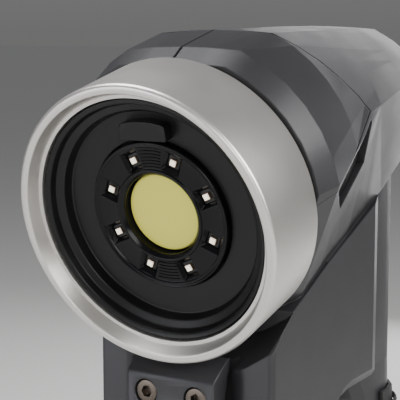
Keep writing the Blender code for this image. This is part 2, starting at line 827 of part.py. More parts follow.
def make_led_board():
    """Ring-shaped lamp board with its chips standing in the cover's pockets."""
    front = LED_PLATE_DEPTH + LED_PLATE_THICKNESS + GAP
    inner = FILTER_RADIUS + 0.0008
    outer = LED_PLATE_RADIUS - 0.0004
    back = front + BOARD_THICKNESS
    made = turned("led_board", [(inner, front), (outer, front), (outer, back), (inner, back)], 24)
    half = LED_CHIP / 2
    for angle in led_places():
        chip = block("chip", (-half, half), (front - 0.0007, front + 0.0004), (-half, half))
        place = (LED_CIRCLE_RADIUS * math.cos(angle), 0, LED_CIRCLE_RADIUS * math.sin(angle))
        join(made, baked(moved(chip, place)))
    return made


def make_lens_barrel():
    """Lens barrel with a recessed, domed front element."""
    start = LED_PLATE_DEPTH + FILTER_SETBACK + FILTER_THICKNESS + GAP
    radius = FILTER_RADIUS + 0.0004
    end = start + LENS_LENGTH
    profile = [
        (0, start + 0.0012),
        (0.0045, start + 0.0016),
        (LENS_RADIUS, start + 0.0030),
        (LENS_RADIUS, start),
        (radius, start),
        (radius, end - 0.006),
        (radius + LENS_FLANGE, end - 0.006),
        (radius + LENS_FLANGE, end),
        (0, end),
    ]
    return turned("lens_barrel", profile, 20)


def make_sensor_board():
    """Round sensor board with the image sensor on its front and a connector on its back."""
    front = LED_PLATE_DEPTH + FILTER_SETBACK + FILTER_THICKNESS + LENS_LENGTH + 0.0020
    made = rod("sensor_board", SENSOR_RADIUS, front, front + BOARD_THICKNESS, 20)
    join(
        made,
        block("chip", (-0.006, 0.006), (front - 0.0010, front + 0.0005), (-0.005, 0.005)),
        block("plug", (-0.008, 0.008), (front + 0.0010, front + 0.0045), (0.007, 0.011)),
    )
    return made


def make_baffle():
    made = turned("baffle", baffle_profile(), 32)
    low = LED_PLATE_RADIUS + GAP + 0.0004
    tab = block(
        "tab",
        (-TAB_WIDTH / 2, TAB_WIDTH / 2),
        (BAFFLE_FLOOR_DEPTH - 0.0026, BAFFLE_FLOOR_DEPTH + 0.001),
        (low, low + TAB_HEIGHT),
    )
    return join(made, tab)


def make_cameras(looks):
    glass_front = LED_PLATE_DEPTH + FILTER_SETBACK
    edge = 0.0003
    glass = [
        (0, glass_front),
        (FILTER_RADIUS - edge, glass_front),
        (FILTER_RADIUS, glass_front + edge),
        (FILTER_RADIUS, glass_front + FILTER_THICKNESS),
        (0, glass_front + FILTER_THICKNESS),
    ]
    pieces = {
        "hood_ring": (turned("ring", ring_profile(), 44), looks["silver"]),
        "hood_baffle": (make_baffle(), looks["black"]),
        "lamp_cover": (make_led_cover(), looks["black"]),
        "lamp_board": (make_led_board(), looks["board"]),
        "filter_glass": (turned("glass", glass, 28), looks["filter"]),
        "lens_barrel": (make_lens_barrel(), looks["black"]),
        "sensor_board": (make_sensor_board(), looks["board"]),
    }
    for side in SIDES:
        frame = camera_frame(side)
        for label, (source, look) in pieces.items():
            made = node(copy_of(source, label), f"{side}_{label}", look)
            made.parent = frame
    for source, _ in pieces.values():
        bpy.data.objects.remove(source)


# Front plate and what is behind it

def plate_screw_places():
    height = PLATE_TOP - 0.0045
    return [(x, sign * height) for sign in (1, -1) for x in (0.0065, -0.0065)]


def make_front_plate(looks):
    front = world_y(PLATE_FRONT)
    back = world_y(PLATE_FRONT + PLATE_THICKNESS)
    bevel = 0.0004
    slope_back = 0.0068
    slope_rise = 0.0042
    top = [
        (back + 0.0020, PLATE_TOP + slope_rise - 0.0030),
        (back + 0.0020, PLATE_TOP + slope_rise),
        (front + slope_back - 0.0006, PLATE_TOP + slope_rise),
        (front + bevel, PLATE_TOP + bevel),
        (front, PLATE_TOP - bevel),
    ]
    bottom = [(y, -z) for y, z in reversed(top)]
    outline = [(back, PLATE_TOP - 0.0040), *top, *bottom, (back, -PLATE_TOP + 0.0040)]
    plate = prism("plate", [(y, MIDDLE_Z + z) for y, z in outline], -PLATE_HALF, PLATE_HALF)
    window = rounded(
        (-WINDOW_HALF - GAP, WINDOW_HALF + GAP),
        (MIDDLE_Z - WINDOW_HEIGHT / 2, MIDDLE_Z + WINDOW_HEIGHT / 2),
        (0.0030,) * 4,
    )
    cut(plate, prism("window", window, front - 0.001, back + 0.002, "Y"))
    for x, height in plate_screw_places():
        hole = rod("hole", SCREW_RADIUS + SCREW_PLAY, -0.001, 0.012, 12)
        sink = rod("sink", SCREW_HEAD_RADIUS + SCREW_PLAY, -0.001, SCREW_HEAD + 0.0006, 16)
        for cutter in (hole, sink):
            cut(plate, baked(moved(cutter, (x, front, MIDDLE_Z + height))))
    node(plate, "front_plate", looks["paint"])
    for index, (x, height) in enumerate(plate_screw_places()):
        screw = make_screw(SCREW_HEAD, PLATE_SCREW_LENGTH)
        node(screw, f"plate_screw_{index + 1}", looks["steel"])
        moved(screw, (x, front + 0.0004, MIDDLE_Z + height))
    glass_edge = 0.0006
    glass = rounded(
        (-WINDOW_HALF, WINDOW_HALF),
        (MIDDLE_Z - WINDOW_HEIGHT / 2 + GAP, MIDDLE_Z + WINDOW_HEIGHT / 2 - GAP),
        (0.0027,) * 4,
    )
    pane = prism("glass", glass, front + glass_edge, front + glass_edge + WINDOW_THICKNESS, "Y")
    node(pane, "laser_window", looks["window"])


def make_screw(head_height, length):
    """Socket-head screw along +Y from the face of its head."""
    profile = [
        (0, SCREW_SOCKET_DEPTH),
        (SCREW_SOCKET, SCREW_SOCKET_DEPTH),
        (SCREW_SOCKET + 0.00015, 0.0),
        (SCREW_HEAD_RADIUS, 0.0),
        (SCREW_HEAD_RADIUS, head_height),
        (SCREW_RADIUS, head_height),
        (SCREW_RADIUS, length),
        (0, length),
    ]
    return turned("screw", profile, 12)


def make_case_screws(looks):
    for index, (behind, height) in enumerate(CASE_SCREWS):
        screw = make_screw(SCREW_HEAD, boss_end(behind) + 0.0040)
        node(screw, f"case_screw_{index + 1}", looks["steel"])
        place = (-boss_end(behind) + 0.0006, world_y(behind), MIDDLE_Z + height)
        moved(screw, place, (0, 0, -math.pi / 2))


def make_optics_inside(looks):
    """Stiff bar that ties the cameras together, and the two line projectors it carries."""
    start = world_y(CHANNEL_FLOOR + WALL + GAP + 0.0020)
    end = start + 0.0120
    half_bar = PLATE_TOP - 0.0079
    bar = block("bar", (-0.0100, 0.0100), (start, end), (MIDDLE_Z - half_bar, MIDDLE_Z + half_bar))
    for name, sign in (("upper", 1), ("lower", -1)):
        height = MIDDLE_Z + sign * WINDOW_HEIGHT * 0.28
        hole = rod("hole", PROJECTOR_RADIUS + GAP, start - 0.001, end + 0.001, 24)
        cut(bar, baked(moved(hole, (0, 0, height))))
        front = world_y(PLATE_FRONT) + 0.0036
        profile = [
            (0, front + 0.0010),
            (0.0026, front + 0.0010),
            (0.0034, front),
            (PROJECTOR_RADIUS, front),
            (PROJECTOR_RADIUS, end + 0.0080),
            (0.0030, end + 0.0080),
            (0.0030, end + 0.0100),
            (0, end + 0.0100),
        ]
        projector = turned("projector", profile, 18)
        node(moved(projector, (0, 0, height)), f"{name}_laser_projector", looks["brass"])
    node(bar, "optics_bar", looks["aluminium"])


# Electronics, fan, controls

def make_electronics(looks):
    """Finned heat sink in the upper head, and the main board in the lower one."""
    across = (-0.0150, 0.0150)
    depth = (world_y(0.062), world_y(0.084))
    base = MIDDLE_Z + BASELINE / 2 + 0.0120
    sink = block("sink", across, depth, (base, base + 0.0040))
    fins = 7
    fin = 0.0006
    for k in range(fins):
        x = across[0] + 0.0008 + k * (across[1] - across[0] - 0.0016) / (fins - 1)
        join(sink, block("fin", (x - fin, x + fin), depth, (base + 0.0030, base + 0.0220)))
    node(sink, "heat_sink", looks["aluminium"])
    low = MIDDLE_Z - BASELINE / 2 - 0.0200
    top = low + BOARD_THICKNESS
    board = block("board", (-0.0160, 0.0160), (world_y(0.056), world_y(0.088)), (low, top))
    chips = [(0.0, 0.066, 0.0070, 0.0018), (-0.0095, 0.082, 0.0040, 0.0016), (0.0090, 0.083, 0.0050, 0.0040)]
    for x, behind, half, height in chips:
        y = world_y(behind)
        join(board, block("chip", (x - half, x + half), (y - half, y + half), (top - 0.0005, top + height)))
    node(board, "main_board", looks["board"])


def make_fan(looks):
    height = fan_place()
    start = world_y(BACK - FAN_CLEAR - FAN_HALF - FAN_THICKNESS)
    end = start + FAN_THICKNESS
    frame = prism(
        "frame",
        rounded((-FAN_HALF, FAN_HALF), (height - FAN_HALF, height + FAN_HALF), (FAN_CORNER,) * 4),
        start,
        end,
        "Y",
    )
    duct = FAN_HALF - FAN_WALL
    cut(frame, baked(moved(rod("duct", duct, start - 0.001, end + 0.001, 24), (0, 0, height))))
    for k in range(3):
        strut = block("strut", (-0.0008, 0.0008), (end - 0.0014, end), (0.0, duct + 0.0004))
        angle = 2 * math.pi * k / 3
        join(frame, baked(moved(strut, (0, 0, height), (0, angle, 0))))
    join(frame, baked(moved(rod("motor", FAN_HUB, end - 0.0016, end + 0.0002, 12), (0, 0, height))))
    node(frame, "fan_frame", looks["black"])
    hub = rod("hub", FAN_HUB, 0.0, FAN_THICKNESS - 0.0022, 14)
    for k in range(FAN_BLADES):
        chord = (0.0004, FAN_THICKNESS - 0.0026)
        blade = block("blade", (-0.0004, 0.0004), chord, (FAN_HUB - 0.0008, duct - 0.0006))
        blade.data.transform(Matrix.Rotation(math.radians(35), 4, "Z"))
        join(hub, baked(moved(blade, (0, 0, 0), (0, 2 * math.pi * k / FAN_BLADES, 0))))
    node(moved(hub, (0, start, height)), "fan_impeller", looks["black"])
    guard = rod("guard", guard_radius(), 0.0, WALL, 24)
    for k in range(5):
        x = (k - 2) * 0.0034
        reach = math.sqrt((guard_radius() - 0.0016) ** 2 - x ** 2)
        cut(guard, block("slot", (x - 0.0009, x + 0.0009), (-0.001, WALL + 0.001), (-reach, reach)))
    node(moved(guard, (0, world_y(BACK - WALL) - 0.0001, height)), "fan_guard", looks["black"])


def make_trigger(looks):
    """Finger trigger with a hollowed face and a flange that keeps it in the handle, its spring
    and its switch."""
    half = TRIGGER_HEIGHT / 2
    steps = 8
    face = []
    for k in range(steps + 1):
        hollow = TRIGGER_HOLLOW * math.sin(math.pi * k / steps)
        face.append((-TRIGGER_PROUD + hollow, half * (2 * k / steps - 1)))
    front = WALL + GAP
    back = front + TRIGGER_FLANGE
    lip = half + TRIGGER_LIP
    outline = [(front, -half), *face, (front, half), (front, lip), (back, lip), (back, -lip), (front, -lip)]
    trigger = prism("trigger", outline, -TRIGGER_HALF, TRIGGER_HALF)
    start = world_y(HANDLE_FRONT)
    node(moved(trigger, (0, start, trigger_centre())), "trigger", looks["trigger"])
    switch_front = start + back + TRIGGER_TRAVEL + SPRING_ROOM
    switch = block(
        "switch",
        (-SWITCH_HALF + 0.0010, SWITCH_HALF - 0.0010),
        (switch_front, switch_front + SWITCH_LENGTH),
        (trigger_centre() - SWITCH_HALF, trigger_centre() + SWITCH_HALF),
    )
    node(switch, "trigger_switch", looks["black"])
    spring = make_spring(start + back + GAP, switch_front - GAP, trigger_centre())
    node(spring, "trigger_spring", looks["steel"])


def make_spring(start, end, height):
    """A compression spring along Y, as a thick helix with flat-cut ends."""
    steps = 8
    wire = SPRING_WIRE
    rings = []
    count = SPRING_TURNS * steps
    for k in range(count + 1):
        angle = 2 * math.pi * k / steps
        y = start + wire + (end - start - 2 * wire) * k / count
        centre = Vector((SPRING_RADIUS * math.cos(angle), y, height + SPRING_RADIUS * math.sin(angle)))
        outward = Vector((math.cos(angle), 0, math.sin(angle)))
        rings.append([
            centre + wire * (math.cos(a) * outward + math.sin(a) * Vector((0, 1, 0)))
            for a in [math.pi / 4 + math.pi * i / 2 for i in range(4)]
        ])
    return loft("spring", rings)


def make_keypad(looks):
    """Button frame let into the handle's back, three thumb buttons and a status light."""
    half = BUTTON_HALF + KEYPAD_MARGIN
    span = keypad_span()
    outer = rounded((-half, half), (keypad_centre() - span / 2, keypad_centre() + span / 2), (0.0022,) * 4)
    back = world_y(KEYPAD_BACK)
    front = world_y(HANDLE_BACK - WALL) - 0.0012
    frame = prism("frame", outer, front, back, "Y")
    hole_half = BUTTON_HEIGHT / 2 + GAP
    for place in button_places():
        across = (-BUTTON_HALF - GAP, BUTTON_HALF + GAP)
        hole = rounded(across, (place - hole_half, place + hole_half), (BUTTON_CORNER,) * 4)
        cut(frame, prism("hole", hole, front - 0.001, back + 0.001, "Y"))
    light = rod("hole", LIGHT_RADIUS + GAP, front - 0.001, back + 0.001, 16)
    cut(frame, baked(moved(light, (0, 0, light_place()))))
    node(frame, "keypad_frame", looks["black"])
    for index, place in enumerate(button_places()):
        half_height = BUTTON_HEIGHT / 2
        corners = (BUTTON_CORNER,) * 4
        outline = rounded((-BUTTON_HALF, BUTTON_HALF), (-half_height, half_height), corners)
        button = prism("button", outline, -BUTTON_LENGTH, BUTTON_PROUD, "Y")
        node(moved(button, (0, back, place)), f"button_{index + 1}", looks["rubber"])
    lamp = rod("lamp", LIGHT_RADIUS, front + 0.0004, back - 0.0002, 16)
    node(moved(lamp, (0, 0, light_place())), "status_light", looks["light"])


def button_places():
    first = keypad_centre() - keypad_span() / 2 + KEYPAD_FOOT + BUTTON_HEIGHT / 2
    return [first + k * BUTTON_PITCH for k in range(BUTTON_COUNT)]


def light_place():
    return keypad_centre() + keypad_span() / 2 - LIGHT_DROP


def make_port(looks):
    """Cable socket in the lower head's back, and the hinged flap that closes it."""
    height = port_place()
    face = world_y(BACK - FLAP_THICKNESS) - 0.0020
    radius = PORT_RADIUS - 0.0001
    bore = radius - SOCKET_WALL
    socket = [
        (0, face - SOCKET_LENGTH),
        (radius, face - SOCKET_LENGTH),
        (radius, face),
        (bore, face),
        (bore, face - SOCKET_DEPTH),
        (0, face - SOCKET_DEPTH),
    ]
    node(moved(turned("socket", socket, 24), (0, 0, height)), "cable_socket", looks["steel"])
    size = flap_size()
    knuckle = FLAP_KNUCKLE
    pin_y = world_y(BACK) - knuckle
    pin_z = height + size + FLAP_RISE - knuckle
    low = height - size - pin_z
    flap = prism(
        "flap",
        [
            (-FLAP_THICKNESS + knuckle, low),
            (knuckle, low),
            (knuckle, -0.0006),
            (0.0006, knuckle * 0.9),
            (-0.0006, knuckle * 0.9),
            (-FLAP_THICKNESS + knuckle, 0.0),
        ],
        -size,
        size,
    )
    bore = rod("bore", PIN_RADIUS + 0.00005, -size - 0.001, size + 0.001, 12)
    cut(flap, baked(moved(bore, (0, 0, 0), (0, 0, math.pi / 2))))
    node(moved(flap, (0, pin_y, pin_z)), "port_flap", looks["rubber"])
    pin = rod("pin", PIN_RADIUS, -size - 0.0002, size + 0.0002, 12)
    node(moved(pin, (0, pin_y, pin_z), (0, 0, math.pi / 2)), "flap_pin", looks["steel"])


def make_grip(looks):
    """Soft pad over the back of the handle, below the buttons."""
    low = GRIP_LOW
    high = KEYPAD_Z - keypad_span() / 2 - 0.006
    heights = [low, -0.020, 0.0, 0.016, high]
    outer = loft("pad", [handle_ring(h, -GRIP_THICKNESS) for h in heights])
    inner = [low - 0.002, *heights[1:-1], high + 0.002]
    cut(outer, loft("pad_in", [handle_ring(h, -GAP) for h in inner]))
    behind = (world_y(HANDLE_BACK - GRIP_WRAP), REACH)
    keep = block("keep", (-REACH, REACH), behind, (-REACH, REACH))
    node(boolean(outer, keep, "INTERSECT"), "grip_pad", looks["rubber"])


def make_feet(looks):
    for label, foot in zip(("front", "rear"), foot_blocks("foot")):
        node(foot, f"{label}_foot", looks["rubber"])


def build():
    for old in list(bpy.data.objects):
        bpy.data.objects.remove(old, do_unlink=True)
    looks = {
        "silver": material("bead_blasted_aluminium", (0.62, 0.60, 0.58), 0.38, 1.0),
        "paint": material("dark_grey_paint", (0.075, 0.075, 0.080), 0.48, 0.2),
        "black": material("black_plastic", (0.014, 0.014, 0.015), 0.45),
        "filter": material("olive_filter_glass", (0.50, 0.47, 0.20), 0.12),
        "window": material("dark_window_glass", (0.02, 0.02, 0.03), 0.08),
        "board": material("circuit_board", (0.02, 0.09, 0.04), 0.5),
        "brass": material("brass", (0.70, 0.50, 0.22), 0.3, 1.0),
        "aluminium": material("aluminium", (0.60, 0.60, 0.62), 0.4, 1.0),
        "steel": material("dark_steel", (0.30, 0.29, 0.28), 0.35, 1.0),
        "rubber": material("rubber", (0.020, 0.020, 0.021), 0.75),
        "trigger": material("trigger_plastic", (0.030, 0.030, 0.032), 0.5),
        "light": material("light_pipe", (0.75, 0.80, 0.78), 0.25),
    }
    make_shells(looks["paint"], looks["black"])
    make_cameras(looks)
    make_front_plate(looks)
    make_optics_inside(looks)
    make_case_screws(looks)
    make_electronics(looks)
    make_fan(looks)
    make_trigger(looks)
    make_keypad(looks)
    make_port(looks)
    make_grip(looks)
    make_feet(looks)


build()
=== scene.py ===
import json
import math

import bmesh
import bpy
from mathutils import Euler, Matrix, Vector

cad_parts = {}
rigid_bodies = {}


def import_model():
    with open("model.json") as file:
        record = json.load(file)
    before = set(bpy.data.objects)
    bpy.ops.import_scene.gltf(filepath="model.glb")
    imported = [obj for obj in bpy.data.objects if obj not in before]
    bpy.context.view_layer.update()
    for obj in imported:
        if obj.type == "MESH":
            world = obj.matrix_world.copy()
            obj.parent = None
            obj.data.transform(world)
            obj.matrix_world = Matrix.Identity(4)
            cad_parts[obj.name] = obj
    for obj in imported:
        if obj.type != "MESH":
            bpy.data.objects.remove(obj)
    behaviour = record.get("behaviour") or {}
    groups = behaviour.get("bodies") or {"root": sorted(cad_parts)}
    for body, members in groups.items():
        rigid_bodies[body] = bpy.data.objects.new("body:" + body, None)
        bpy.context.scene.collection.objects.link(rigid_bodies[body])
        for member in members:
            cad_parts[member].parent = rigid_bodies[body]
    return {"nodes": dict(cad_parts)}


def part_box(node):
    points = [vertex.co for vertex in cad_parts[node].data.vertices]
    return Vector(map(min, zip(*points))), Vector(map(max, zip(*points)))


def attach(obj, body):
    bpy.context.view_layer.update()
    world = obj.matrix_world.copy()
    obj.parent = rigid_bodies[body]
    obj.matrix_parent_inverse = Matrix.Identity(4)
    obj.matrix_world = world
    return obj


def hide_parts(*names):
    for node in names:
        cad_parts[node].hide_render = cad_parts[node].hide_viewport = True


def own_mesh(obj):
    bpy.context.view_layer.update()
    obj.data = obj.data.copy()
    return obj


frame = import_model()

for startup in [o for o in bpy.data.objects if o.name in ("Cube", "Light", "Camera")]:
    bpy.data.objects.remove(startup)
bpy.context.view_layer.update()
nodes = frame["nodes"]
print("frame loaded")

# Where the two camera heads are. A head's own Y runs back along its sight line, its Z away from
# the middle of the scanner, and 0 is the centre of the hood's rim.
heads = {"tilt": math.radians(15), "glassMiddle": 0.0106, "turns": {"upper": 0.0, "lower": math.pi}}


def middleOf(node):
    low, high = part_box(node)
    return (low + high) / 2


def headPlace(side):
    turn = Euler((heads["tilt"], heads["turns"][side], 0)).to_matrix().to_4x4()
    glass = middleOf(side + "_filter_glass")
    return Matrix.Translation(glass - turn @ Vector((0, heads["glassMiddle"], 0))) @ turn


# Shared by every piece: angles in degrees, at which shading breaks, facets merge and edges are eased
edgeWork = {"sharp": 32, "caseSharp": 18, "merge": 2e-6, "flat": 1.0, "easeFrom": 35, "easeSteps": 2,
            "bevelSteps": 3}


def aroundCircle(count):
    return [2 * math.pi * i / count for i in range(count)]


def skinned(bm, rings):
    # closes a run of equal rings into a solid, and gives back its two flat ends
    count = len(rings[0])
    for one, two in zip(rings, rings[1:]):
        for i in range(count):
            j = (i + 1) % count
            bm.faces.new((one[i], one[j], two[j], two[i]))
    return [bm.faces.new(rings[0]), bm.faces.new(list(reversed(rings[-1])))]


def pieceFrom(name, bm, sharp=edgeWork["sharp"]):
    bmesh.ops.recalc_face_normals(bm, faces=bm.faces)
    mesh = bpy.data.meshes.new(name)
    bm.to_mesh(mesh)
    bm.free()
    mesh.shade_smooth()
    mesh.set_sharp_from_angle(angle=math.radians(sharp))
    made = bpy.data.objects.new(name, mesh)
    bpy.context.scene.collection.objects.link(made)
    return made


def filleted(outline, steps=5):
    # outline is (u, v, fillet) in order; each corner becomes an arc tangent to its two sides
    points = []
    count = len(outline)
    for i, (u, v, fillet) in enumerate(outline):
        here = Vector((u, v))
        before = Vector(outline[i - 1][:2]) - here
        after = Vector(outline[(i + 1) % count][:2]) - here
        if fillet <= 0 or before.length < 1e-9 or after.length < 1e-9:
            points.append(here)
            continue
        half = before.angle(after) / 2
        reach = min(fillet / math.tan(half), 0.49 * before.length, 0.49 * after.length)
        radius = reach * math.tan(half)
        inward = (before.normalized() + after.normalized()).normalized()
        middle = here + inward * radius / math.sin(half)
        first = here + before.normalized() * reach - middle
        last = here + after.normalized() * reach - middle
        sweep = first.angle_signed(last)
        for k in range(steps + 1):
            spin = Matrix.Rotation(-sweep * k / steps, 2)
            points.append(middle + spin @ first)
    return points


def lathe(name, outline, steps=128, arcs=5):
    # turned about local Y from (radius, along, fillet) corners
    bm = bmesh.new()
    columns = []
    for radius, along in filleted(outline, arcs):
        if radius < 1e-6:
            columns.append([bm.verts.new((0, along, 0))] * steps)
            continue
        columns.append([bm.verts.new((radius * math.cos(a), along, radius * math.sin(a)))
                        for a in aroundCircle(steps)])
    for one, two in zip(columns, columns[1:] + columns[:1]):
        for i in range(steps):
            j = (i + 1) % steps
            corners = list(dict.fromkeys((one[i], one[j], two[j], two[i])))
            if len(corners) > 2:
                bm.faces.new(corners)
    return pieceFrom(name, bm)


def pushed(name, points, low, high, axis="Y", bevel=0.0):
    # an outline pushed along X or Y; its points are the other two coordinates in order
    bm = bmesh.new()
    ends = []
    for w in (low, high):
        ends.append([bm.verts.new((w, u, v) if axis == "X" else (u, w, v)) for u, v in points])
    caps = skinned(bm, ends)
    if bevel:
        rims = list({edge for cap in caps for edge in cap.edges})
        bmesh.ops.bevel(bm, geom=rims, offset=bevel, segments=edgeWork["bevelSteps"], profile=0.5,
                        affect="EDGES", clamp_overlap=True)
    return pieceFrom(name, bm)


def box2d(x, y, fillet):
    return [(x[0], y[0], fillet), (x[1], y[0], fillet), (x[1], y[1], fillet), (x[0], y[1], fillet)]


def blockMesh(bm, x, y, z, at, taper=1.0):
    # a block from y[0] to y[1] whose far end is taper times as wide
    rings = []
    for along, wide in ((y[0], 1.0), (y[1], taper)):
        mid = Vector(((x[0] + x[1]) / 2, (z[0] + z[1]) / 2))
        half = Vector(((x[1] - x[0]) / 2, (z[1] - z[0]) / 2)) * wide
        rings.append([bm.verts.new(at @ Vector((mid.x + sx * half.x, along, mid.y + sz * half.y)))
                      for sx, sz in ((-1, -1), (1, -1), (1, 1), (-1, 1))])
    skinned(bm, rings)


def carve(target, cutter):
    bpy.context.view_layer.update()
    modifier = target.modifiers.new("carve", "BOOLEAN")
    modifier.object = cutter
    graph = bpy.context.evaluated_depsgraph_get()
    mesh = bpy.data.meshes.new_from_object(target.evaluated_get(graph))
    target.modifiers.clear()
    target.data = mesh
    bpy.data.objects.remove(cutter)
    mesh.shade_smooth()
    mesh.set_sharp_from_angle(angle=math.radians(edgeWork["sharp"]))
    return target


def cleaned(name, node, bevel=0.0, sharp=edgeWork["sharp"]):
    # a CAD node's own shape with its facets merged, its edges eased and its rounds smooth
    bm = bmesh.new()
    bm.from_mesh(nodes[node].data)
    bmesh.ops.remove_doubles(bm, verts=bm.verts, dist=edgeWork["merge"])
    bmesh.ops.dissolve_limit(bm, angle_limit=math.radians(edgeWork["flat"]), verts=bm.verts, edges=bm.edges)
    if bevel:
        limit = math.radians(edgeWork["easeFrom"])
        edges = [e for e in bm.edges if len(e.link_faces) == 2 and e.calc_face_angle() > limit]
        bmesh.ops.bevel(bm, geom=edges, offset=bevel, segments=edgeWork["easeSteps"], profile=0.6,
                        affect="EDGES", clamp_overlap=True)
    return pieceFrom(name, bm, sharp)


def link(material, source, target):
    material.node_tree.links.new(source, target)


def scaled(colour, amount):
    return tuple(min(1.0, c * amount) for c in colour) + (1,)


# Shared by every finish: the large uneven clouds, the fine grain, and how rubbed edges look
surface = {"cloudScale": 70, "cloudDetail": 6, "glossFrom": 0.3, "glossTo": 0.7, "grainDetail": 3,
           "coatRoughness": 0.12, "edgeSamples": 6, "rubbedFrom": 0.995, "rubbedTo": 0.90, "rubbedTone": 2.6}


def finishOf(name, colour, roughness, metallic=0.0, grain=0.0004, height=0.00001, mottle=0.06, spread=0.05,
             edge=0.0003, wear=0.0, coat=0.0, turnedLines=False, specular=0.5):
    # one surface: fine grain as bump, uneven colour and gloss, eased and slightly worn edges
    made = bpy.data.materials.new(name)
    made.use_nodes = True
    tree = made.node_tree.nodes
    shader = tree["Principled BSDF"]
    shader.inputs["Metallic"].default_value = metallic
    shader.inputs["Specular IOR Level"].default_value = specular
    shader.inputs["Coat Weight"].default_value = coat
    shader.inputs["Coat Roughness"].default_value = surface["coatRoughness"]
    place = tree.new("ShaderNodeTexCoord")
    cloud = tree.new("ShaderNodeTexNoise")
    cloud.inputs["Scale"].default_value = surface["cloudScale"]
    cloud.inputs["Detail"].default_value = surface["cloudDetail"]
    link(made, place.outputs["Object"], cloud.inputs["Vector"])
    tone = tree.new("ShaderNodeMix")
    tone.data_type = "RGBA"
    tone.inputs["A"].default_value = scaled(colour, 1 - mottle)
    tone.inputs["B"].default_value = scaled(colour, 1 + mottle)
    link(made, cloud.outputs["Fac"], tone.inputs["Factor"])
    gloss = tree.new("ShaderNodeMapRange")
    gloss.inputs["From Min"].default_value = surface["glossFrom"]
    gloss.inputs["From Max"].default_value = surface["glossTo"]
    gloss.inputs["To Min"].default_value = roughness - spread
    gloss.inputs["To Max"].default_value = roughness + spread
    link(made, cloud.outputs["Fac"], gloss.inputs["Value"])
    link(made, gloss.outputs["Result"], shader.inputs["Roughness"])
    fine = tree.new("ShaderNodeTexNoise")
    fine.inputs["Scale"].default_value = 1 / grain
    fine.inputs["Detail"].default_value = surface["grainDetail"]
    if turnedLines:
        fine.noise_dimensions = "1D"
        axes = tree.new("ShaderNodeSeparateXYZ")
        link(made, place.outputs["Object"], axes.inputs["Vector"])
        link(made, axes.outputs["Y"], fine.inputs["W"])
    else:
        link(made, place.outputs["Object"], fine.inputs["Vector"])
    bump = tree.new("ShaderNodeBump")
    bump.inputs["Distance"].default_value = height
    bump.inputs["Strength"].default_value = 1.0
    link(made, fine.outputs["Fac"], bump.inputs["Height"])
    link(made, bump.outputs["Normal"], shader.inputs["Normal"])
    last = tone.outputs["Result"]
    if edge:
        ease = tree.new("ShaderNodeBevel")
        ease.samples = surface["edgeSamples"]
        ease.inputs["Radius"].default_value = edge
        link(made, ease.outputs["Normal"], bump.inputs["Normal"])
    if edge and wear:
        flat = tree.new("ShaderNodeNewGeometry")
        turn = tree.new("ShaderNodeVectorMath")
        turn.operation = "DOT_PRODUCT"
        link(made, ease.outputs["Normal"], turn.inputs[0])
        link(made, flat.outputs["Normal"], turn.inputs[1])
        rubbed = tree.new("ShaderNodeMapRange")
        rubbed.inputs["From Min"].default_value = surface["rubbedFrom"]
        rubbed.inputs["From Max"].default_value = surface["rubbedTo"]
        rubbed.inputs["To Max"].default_value = wear
        link(made, turn.outputs["Value"], rubbed.inputs["Value"])
        worn = tree.new("ShaderNodeMix")
        worn.data_type = "RGBA"
        worn.inputs["B"].default_value = scaled(colour, surface["rubbedTone"])
        link(made, rubbed.outputs["Result"], worn.inputs["Factor"])
        link(made, last, worn.inputs["A"])
        last = worn.outputs["Result"]
    link(made, last, shader.inputs["Base Color"])
    return made


looks = {
    "ring_aluminium": finishOf("beadBlastedAluminium", (0.66, 0.64, 0.615), 0.36, 0.88, grain=0.00012,
                               height=0.000006, mottle=0.03, spread=0.03, edge=0.0),
    "case_paint": finishOf("casePaint", (0.036, 0.036, 0.040), 0.42, 0.40, grain=0.00028, height=0.00003,
                           mottle=0.14, wear=0.10, edge=0.00045),
    "black_plastic": finishOf("blackPlastic", (0.010, 0.010, 0.011), 0.38, grain=0.00025, height=0.000008),
    "funnelBlack": finishOf("funnelBlack", (0.005, 0.005, 0.0055), 0.36, grain=0.00025, height=0.000008,
                            specular=0.28),
    "lampPlastic": finishOf("lampPlastic", (0.004, 0.004, 0.005), 0.22, grain=0.0003, height=0.000002,
                            spread=0.03, specular=0.2),
    "filter_glass": finishOf("oliveFilterGlass", (0.58, 0.55, 0.085), 0.12, grain=0.002, height=0.0,
                             mottle=0.02, spread=0.02, edge=0.0, coat=0.1, specular=0.3),
    "window_glass": finishOf("windowGlass", (0.010, 0.008, 0.012), 0.07, grain=0.002, height=0.0,
                             spread=0.02, coat=1.0),
    "circuit_board": finishOf("circuitBoard", (0.018, 0.075, 0.035), 0.42, grain=0.0006, coat=0.2),
    "brass": finishOf("brass", (0.70, 0.50, 0.22), 0.26, 1.0, grain=0.0002, height=0.000003,
                      turnedLines=True),
    "inner_aluminium": finishOf("innerAluminium", (0.60, 0.60, 0.62), 0.38, 1.0, grain=0.0002,
                                height=0.000004),
    "steel": finishOf("steel", (0.52, 0.51, 0.50), 0.28, 1.0, grain=0.0002, height=0.000003),
    "screw_steel": finishOf("screwSteel", (0.11, 0.092, 0.078), 0.34, 1.0, grain=0.0002, height=0.000004,
                            mottle=0.15, edge=0.0001, wear=0.3),
    "rubber": finishOf("rubber", (0.019, 0.019, 0.020), 0.72, grain=0.0005, height=0.00003, mottle=0.12),
    "trigger_plastic": finishOf("triggerPlastic", (0.028, 0.028, 0.030), 0.46, grain=0.0003, height=0.000015),
    "light_pipe": finishOf("lightPipe", (0.62, 0.70, 0.66), 0.22, grain=0.001, height=0.0, coat=0.4),
    "lampBoard": finishOf("lampBoard", (0.010, 0.011, 0.010), 0.5, grain=0.0006, height=0.000006, edge=0.0),
    "chipFace": finishOf("chipFace", (0.95, 0.86, 0.68), 0.4, grain=0.0003, height=0.0, edge=0.0),
    "chipFrame": finishOf("chipFrame", (0.07, 0.045, 0.03), 0.45, grain=0.0003, height=0.000005, edge=0.0),
}
